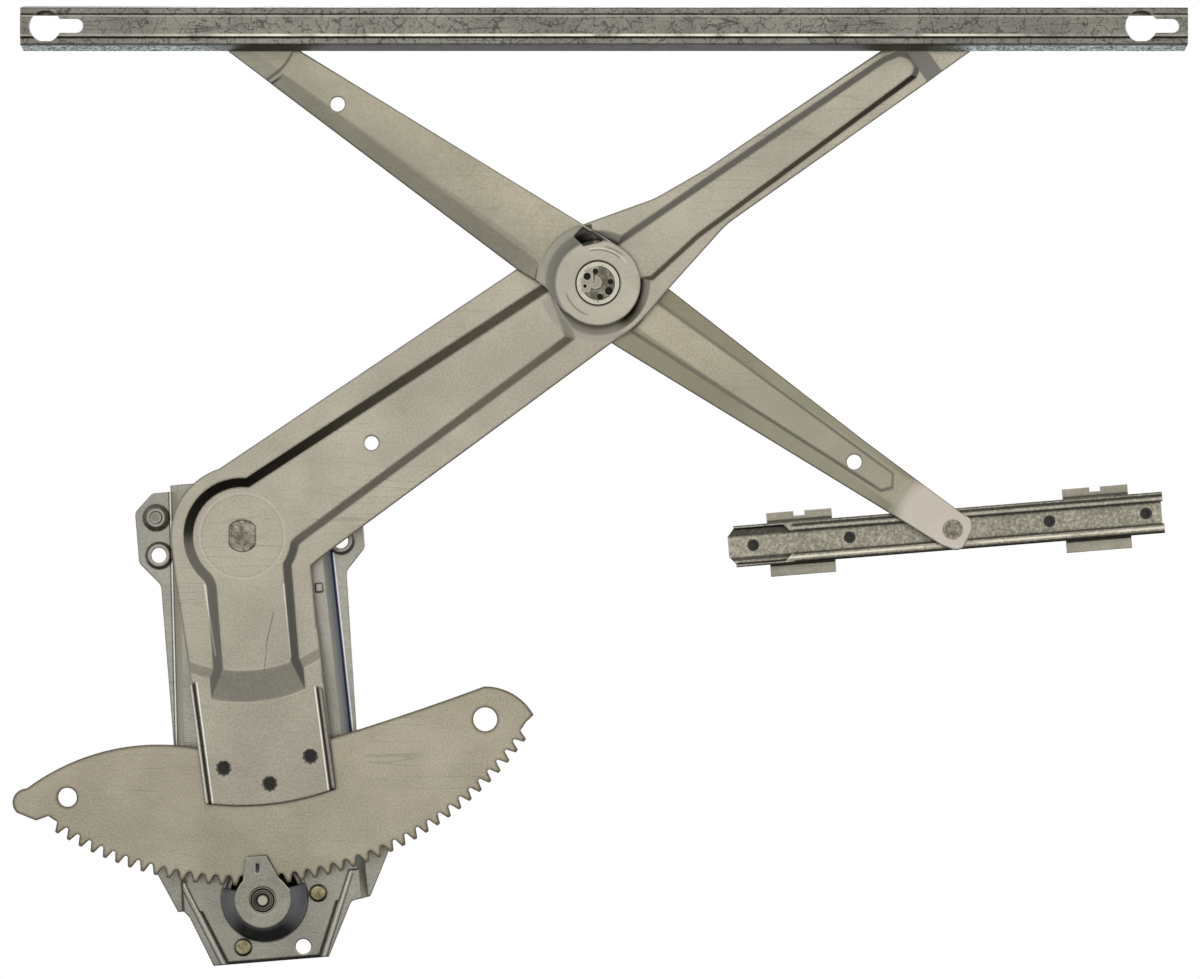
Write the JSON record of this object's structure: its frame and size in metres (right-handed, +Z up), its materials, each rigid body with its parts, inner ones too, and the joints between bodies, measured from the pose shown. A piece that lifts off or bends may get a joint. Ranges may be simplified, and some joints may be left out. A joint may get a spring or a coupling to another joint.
{
  "type": "window regulator",
  "caption": "Hand-cranked cross-arm window regulator: a toothed sector swings a long arm, and a scissor arm keeps the glass rail level.",
  "frame": {"origin": "main pivot axis on the door panel plane of the base plate", "axes": "+X to the right as seen from the glass side, +Z up, +Y into the cabin along the pivots"},
  "size_m": [0.5849, 0.0668, 0.4803],
  "materials": {
    "base_steel": "zinc plated sheet, dull",
    "arm_steel": "zinc plated sheet, dull",
    "aux_steel": "zinc plated sheet, dull",
    "sector_steel": "bare stamped steel, light brown edges",
    "rail_steel": "zinc plated sheet, scratched",
    "guide_steel": "spangled zinc sheet",
    "rivet_steel": "dull yellow passivate",
    "dark_steel": "oiled dark steel",
    "shaft_steel": "staked steel, greasy",
    "bushing_metal": "sintered bronze",
    "washer_plastic": "natural nylon",
    "roller_plastic": "natural acetal"
  },
  "bodies": {
    "base": {"base_plate": "base_steel", "pivot_bushing": "bushing_metal", "pinion_bushing": "bushing_metal", "clutch_housing": "base_steel", "housing_rivets": "rivet_steel", "ear_stud": "rivet_steel"},
    "main_arm": {"main_arm": "arm_steel", "sector_gear": "sector_steel", "sector_rivets": "dark_steel", "pivot_shaft": "shaft_steel", "pivot_washer": "dark_steel", "main_roller_stud": "shaft_steel", "cross_washer_front": "washer_plastic", "cross_washer_rear": "washer_plastic"},
    "crank": {"pinion": "dark_steel", "clutch_hub": "dark_steel", "wrap_spring": "dark_steel", "crank_shaft": "shaft_steel"},
    "aux_arm": {"aux_arm_front": "aux_steel", "aux_arm_rear": "aux_steel", "cross_hub": "shaft_steel", "aux_roller_stud": "shaft_steel", "guide_roller_stud": "shaft_steel"},
    "main_roller": {"main_roller": "roller_plastic"},
    "aux_roller": {"aux_roller": "roller_plastic"},
    "guide_roller": {"guide_roller": "roller_plastic"},
    "lift_rail": {"lift_rail": "rail_steel"},
    "guide_rail": {"guide_rail": "guide_steel", "guide_bracket_left": "guide_steel", "guide_bracket_right": "guide_steel", "guide_rivets": "dark_steel"}
  },
  "joints": [
    {"name": "main_arm_pivot", "type": "hinge", "parent": "base", "child": "main_arm", "pos_m": [0, -0.009, 0], "axis": [0, -1, 0], "range_deg": [-48, 14]},
    {"name": "pinion_spin", "type": "hinge", "parent": "base", "child": "crank", "pos_m": [0.01085, -0.017, -0.18185], "axis": [0, -1, 0], "range_deg": [-256, 872]},
    {"name": "cross_pivot", "type": "hinge", "parent": "main_arm", "child": "aux_arm", "pos_m": [0.17824, -0.015, 0.12646], "axis": [0, -1, 0], "range_deg": [-29, 97]},
    {"name": "lift_rail_swivel", "type": "hinge", "parent": "aux_arm", "child": "lift_rail", "pos_m": [0, -0.03, 0.25291], "axis": [0, -1, 0], "range_deg": [-49, 15]},
    {"name": "guide_swivel", "type": "hinge", "parent": "aux_arm", "child": "guide_roller", "pos_m": [0.35615, -0.006, 0.00326], "axis": [0, -1, 0], "range_deg": [-49, 15]},
    {"name": "guide_slide", "type": "slide", "parent": "guide_roller", "child": "guide_rail", "axis": [0.9968, 0, 0.0802], "range_m": [-0.09, 0.068]},
    {"name": "main_roller_spin", "type": "hinge", "parent": "main_arm", "child": "main_roller", "pos_m": [0.35647, -0.031, 0.25291], "axis": [0, -1, 0], "continuous": true},
    {"name": "aux_roller_spin", "type": "hinge", "parent": "aux_arm", "child": "aux_roller", "pos_m": [0, -0.031, 0.25291], "axis": [0, -1, 0], "continuous": true}
  ],
  "couplings": [
    {"joint": "pinion_spin", "follows": "main_arm_pivot", "ratio": -18.111},
    {"joint": "cross_pivot", "follows": "main_arm_pivot", "ratio": -2},
    {"joint": "lift_rail_swivel", "follows": "main_arm_pivot", "ratio": 1},
    {"joint": "guide_swivel", "follows": "main_arm_pivot", "ratio": 1}
  ]
}
